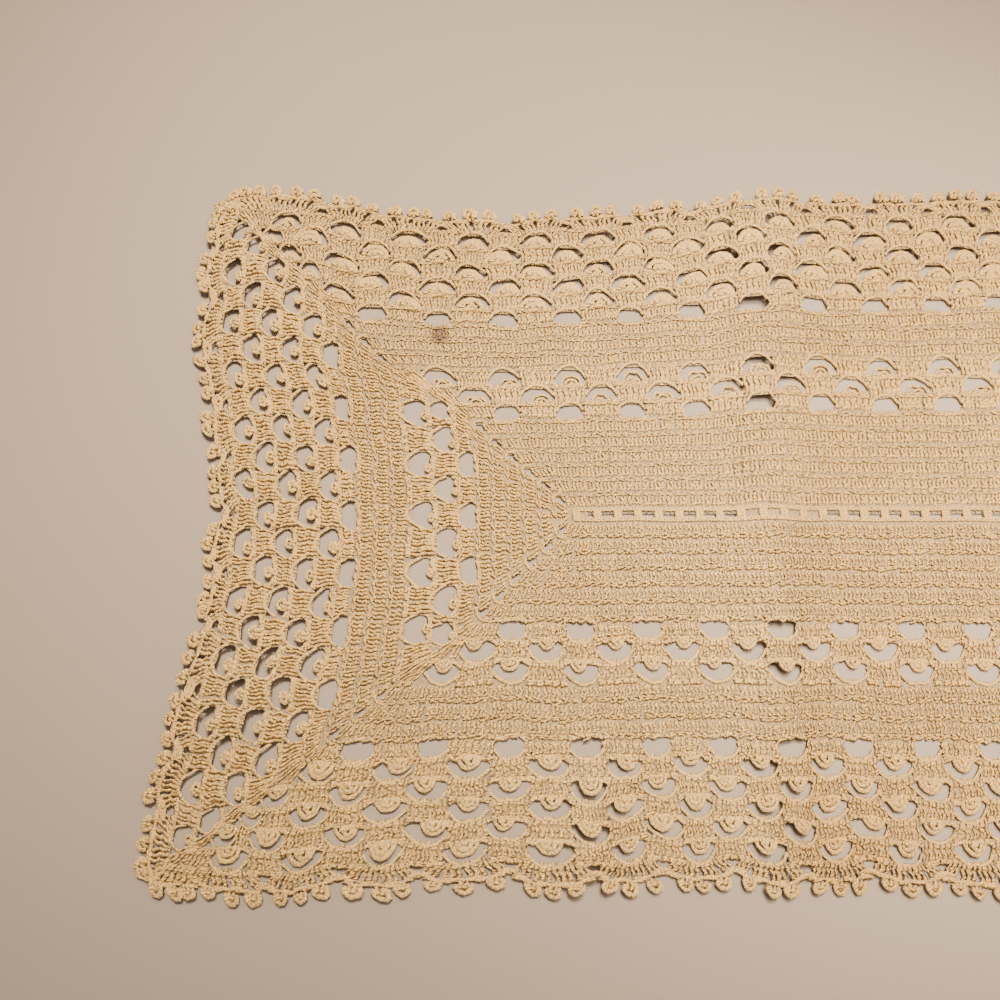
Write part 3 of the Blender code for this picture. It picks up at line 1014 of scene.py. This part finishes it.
def lace_round(index, side):
    """One side of an open round: its groups of stitches, its arches and the picots on top."""
    kind = ROUNDS[index][2]
    out, half = round_lines(index, side)
    middle = (half[0] + half[1]) / 2
    openings, halves = open_places[index, side]
    spread = SHELL_SPREAD if kind == "shells" else 0.0
    foot, head = [], []
    for left, left_half, right, right_half in zip(
        openings[:-1], halves[:-1], openings[1:], halves[1:]
    ):
        places = group_places(left + left_half, right - right_half)
        centre = (left + left_half + right - right_half) / 2
        foot.append(centre + (places - centre) * (1 - spread))
        head.append(centre + (places - centre) * (1 + spread))
    edge = openings[-1] + halves[-1]
    room = middle - edge
    extra = max(1, round(room / GROUP_PITCH))
    for sign in (-1, 1):
        tail = sign * (edge + (np.arange(extra) + 0.5) * room / extra)
        lean = at_mitre(tail, half)
        foot.append(tail - lean)
        head.append(tail + lean)
    foot, head = map(np.concatenate, (foot, head))
    total = len(foot)
    foot = foot + stray(0.12, total)
    head = head + stray(0.14, total)
    foot_width = FOOT_WIDTH * rng.uniform(0.92, 1.08, total)
    head_width = HEAD_WIDTH * rng.uniform(0.92, 1.08, total)
    lift = stray(0.09, total, 0.04)
    foot_out = out[0] + stray(0.12, total)
    head_out = out[1] + stray(0.12, total)
    shapes = ARCH_STITCHES if kind == "shells" else TALL_STITCHES
    batches = mixed(
        shapes, side, foot, head, foot_out, head_out, foot_width, head_width, lift
    )
    gaps = len(openings)
    wide = halves / ARCH_HALF * rng.uniform(0.98, 1.06, gaps)
    sag = stray(0.15, gaps)
    arches = SHELL_ARCHES if kind == "shells" else EYELET_ARCHES
    batches += mixed(
        arches, side, openings, openings + sag, out[0], out[1] + sag, wide, wide, 0.0
    )
    batches += mixed(SILLS, side, openings, openings, out[0], out[1], wide, wide, 0.0)
    if ROUNDS[index + 1][2] == "shells":
        batches += lace_picots(index, side, out[1])
    return batches


joined("inner_lace", [b for i in INNER_ROUNDS for s in range(4) for b in lace_round(i, s)])

# ---------------------------------------------------------------------------------------------
# The solid band: three plain rounds of tall stitches between the two bands of lace, worked the
# same way as the centre panel.
# ---------------------------------------------------------------------------------------------
BAND_ROUNDS = range(10, 13)
joined(
    "solid_band",
    [b for i in BAND_ROUNDS for s in range(4) for b in solid_row(i, s)]
    + [b for i in BAND_ROUNDS for b in corner_loops(i)],
)

# ---------------------------------------------------------------------------------------------
# The outer lace: a round of eyelets and five rounds of shells with picots, each set over the
# gaps of the round before.
# ---------------------------------------------------------------------------------------------
joined("outer_lace_far", [b for i in OUTER_ROUNDS for b in lace_round(i, 0)])
joined("outer_lace_near", [b for i in OUTER_ROUNDS for b in lace_round(i, 2)])
joined("outer_lace_ends", [b for i in OUTER_ROUNDS for s in (1, 3) for b in lace_round(i, s)])

# ---------------------------------------------------------------------------------------------
# The picot edging: a fan of tall stitches over each gap of the last shell round, with three
# picots on its rim and a dip between one fan and the next.
# ---------------------------------------------------------------------------------------------
STEM_FEET = np.linspace(-0.5, 0.5, 8)
STEM_HEADS = np.array([-0.545, -0.450, -0.220, -0.125, 0.125, 0.220, 0.450, 0.545])
FAN_FOOT, FAN_HEAD = 12.0 * MM, 16.8 * MM
PICOT_SPACING = 5.9 * MM
RIM_IN, RIM_BOW = 1.0 * MM, 0.9 * MM  # a fan's rim is curved, inside the round's edge
PICOT_IN, PICOT_BOW = 1.15 * MM, 0.55 * MM
CORNER_STEM_PITCH, CORNER_PICOT_PITCH = 2.3 * MM, 5.2 * MM
CORNER_RIM_IN, CORNER_PICOT_IN = 0.6 * MM, 1.2 * MM
PICOT_PATH = open_loop(-40, 260, 8, 1.55, 1.45, 2.35, 1.0)
PICOTS = stitch_variants(
    [
        (PICOT_PATH, [0.78, 0.92] * 4, [0.72, 0.82] * 4, 4),
        grain((-0.7, 1.2, 1.0), (0.1, 3.0, 1.25), (0.5, 0.8, 0.5), 0.2, 3),
        grain((0.6, 1.1, 1.0), (0.7, 2.9, 1.25), (0.5, 0.75, 0.45), 0.2, 3),
    ]
)
RIM_PATH = [(8.9 * t, ROW + 0.45 - 0.9 * t * t, 1.10) for t in np.linspace(-1, 1, 11)]
RIMS = stitch_variants([(RIM_PATH, [0.46, 0.64] * 5 + [0.46], [0.50] * 11, 4)], 6, 2.2)
DIP_PATH = [(-3.0, 3.9, 0.9), (-1.3, 2.8, 1.0), (1.3, 2.8, 1.0), (3.0, 3.9, 0.9)]
DIP_CHAINS = stitch_variants([(DIP_PATH, [0.55, 0.68, 0.62, 0.55], [0.58] * 4, 4)])


def fan_side(side):
    """The fans along one side, with their picots."""
    out, half = round_lines(len(ROUNDS) - 1, side)
    repeat = SIDE_REPEAT if side % 2 == 0 else END_REPEAT
    shift = 0.0 if side % 2 == 0 else 0.5
    scale = repeat / SIDE_REPEAT
    reach_half = FAN_HEAD * scale / 2
    centres = (np.arange(-20, 20) + shift) * repeat
    centres = centres[np.abs(centres) + reach_half < half[1] - 0.5 * MM]
    fans = len(centres)
    spread = FAN_HEAD * scale * rng.uniform(0.93, 1.03, (fans, 1))
    swing = stray(0.5, (fans, 1))
    reach = stray(0.35, (fans, 1))
    foot = [(centres[:, None] + STEM_FEET[None, :] * FAN_FOOT * scale).ravel()]
    head = [(centres[:, None] + swing + STEM_HEADS[None, :] * spread).ravel()]
    bow = [(RIM_BOW * (2 * STEM_HEADS[None, :]) ** 2 - reach).ravel() + RIM_IN]
    order = np.array([-1, 0, 1])[None, :]
    picots = [(centres[:, None] + 1.15 * swing + order * PICOT_SPACING * scale).ravel()]
    sunk = [(PICOT_BOW * np.abs(order) - reach).ravel() + PICOT_IN]
    # Between the last fan and the corner, stems and picots stand one by one.
    edge, foot_edge = centres[-1] + reach_half, centres[-1] + FAN_FOOT * scale / 2 + 1.0 * MM
    room = half[1] - edge
    posts = max(1, round(room / CORNER_STEM_PITCH))
    loops = max(1, round(room / CORNER_PICOT_PITCH))
    for sign in (-1, 1):
        step = (np.arange(posts) + 0.5) / posts
        foot.append(sign * (foot_edge + step * (half[0] - foot_edge)))
        head.append(sign * (edge + step * room))
        bow.append(np.full(posts, CORNER_RIM_IN))
        picots.append(sign * (edge + (np.arange(loops) + 0.5) * room / loops))
        sunk.append(np.full(loops, CORNER_PICOT_IN))
    foot, head, bow, picots, sunk = map(np.concatenate, (foot, head, bow, picots, sunk))
    total = len(foot)
    head_out = out[1] - bow + stray(0.20, total)
    batches = mixed(
        ARCH_STITCHES, side, foot, head, out[0], head_out, 0.88, 1.32,
        stray(0.08, total, 0.05),
    )
    rim_middle, rim_width = centres + swing[:, 0], spread[:, 0] / FAN_HEAD
    rim_out = out[1] - RIM_IN + reach[:, 0]
    batches += mixed(
        RIMS, side, centres, rim_middle, rim_out - ROW * MM, rim_out, rim_width, rim_width, 0.0
    )
    picots = picots + stray(0.35, len(picots))
    size = rng.uniform(1.00, 1.16, len(picots))
    tips = picots + stray(0.6, len(picots))
    foot_out = out[1] - sunk
    lift = rng.uniform(0.2, 0.8, len(picots)) * MM
    batches += mixed(
        PICOTS, side, picots, tips, foot_out, foot_out + ROW * MM * size, size, size, lift
    )
    dips = (centres[1:] + centres[:-1]) / 2
    batches += mixed(DIP_CHAINS, side, dips, dips, out[0], out[1], 1.0, 1.0, 0.0)
    return batches


joined("picot_edging", [b for s in range(4) for b in fan_side(s)])
